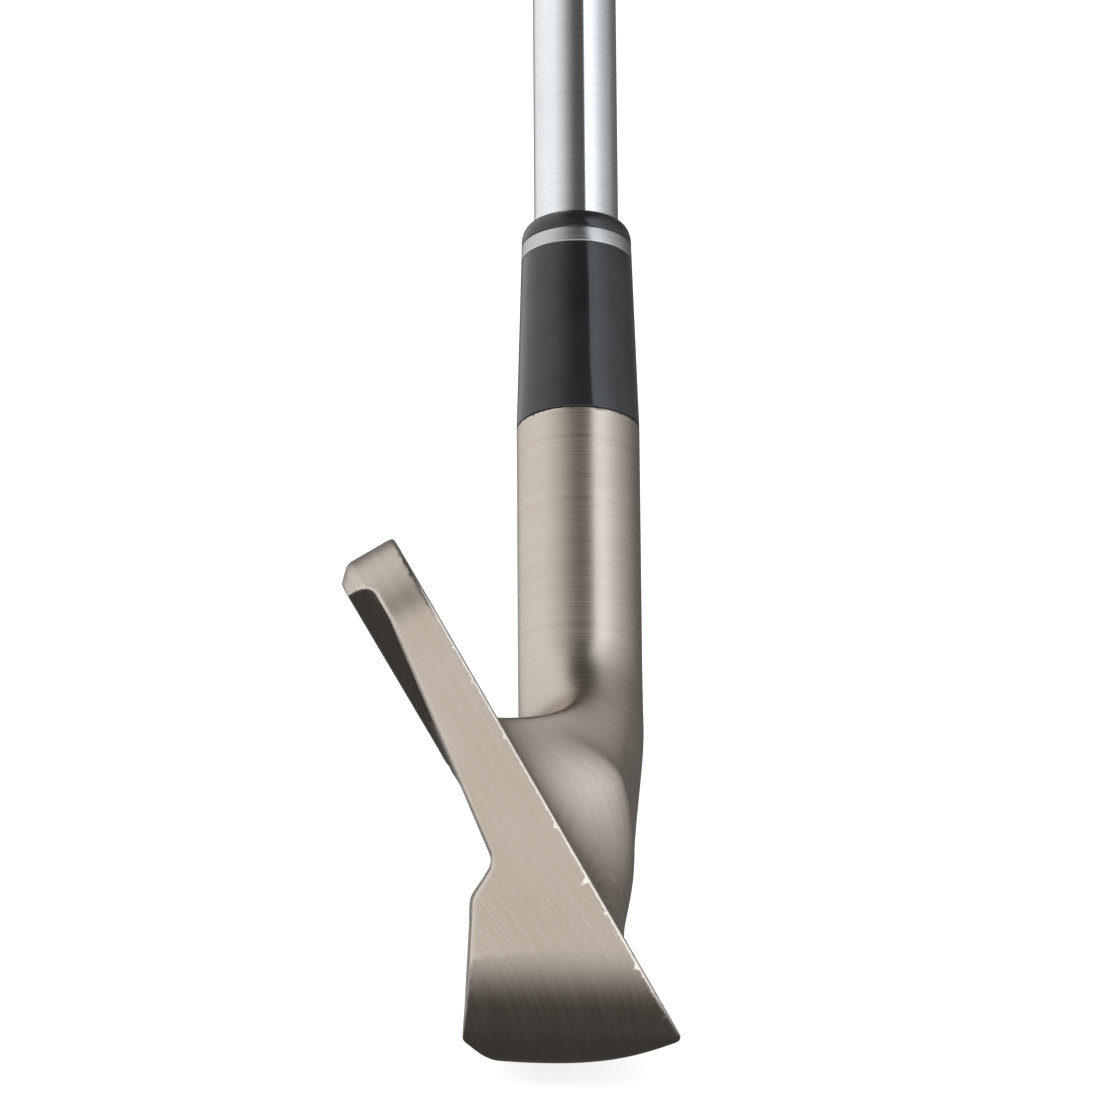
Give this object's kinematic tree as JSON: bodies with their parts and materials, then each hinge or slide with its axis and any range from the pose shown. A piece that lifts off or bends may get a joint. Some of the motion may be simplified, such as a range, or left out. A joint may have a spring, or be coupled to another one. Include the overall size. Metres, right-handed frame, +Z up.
{
  "type": "iron golf club",
  "caption": "Cavity-back iron golf club with a fixed brushed hosel, ringed ferrule, stepped steel shaft and rubber grip, soled at address.",
  "frame": {"origin": "where the shaft axis meets the ground with the club soled at address", "axes": "+X the way the face looks (target), +Y towards the heel and the player, where the shaft leans, -Y the toe, +Z up"},
  "size_m": [0.0443, 0.5301, 0.8352],
  "materials": {
    "head_metal": "brushed, warm pewter tone",
    "damper_rubber": "matte elastomer",
    "badge_foam": "double-sided foam tape",
    "badge_metal": "dark anodised, fine brushed",
    "ferrule_black": "polished black",
    "ferrule_silver": "polished ring",
    "epoxy": "cured adhesive",
    "plug_brass": "turned",
    "shaft_chrome": "bright plated steel",
    "tape_paper": "masking tape",
    "grip_rubber": "matte moulded rubber"
  },
  "bodies": {
    "root": {"head_body": "head_metal", "cavity_damper": "damper_rubber", "badge_tape": "badge_foam", "cavity_badge": "badge_metal", "ferrule_body": "ferrule_black", "ferrule_ring": "ferrule_silver", "ferrule_collar": "ferrule_black", "shaft_bond": "epoxy", "tip_weight": "plug_brass", "shaft": "shaft_chrome", "grip_tape": "tape_paper", "grip_sleeve": "grip_rubber", "grip_cap": "grip_rubber"}
  },
  "joints": []
}
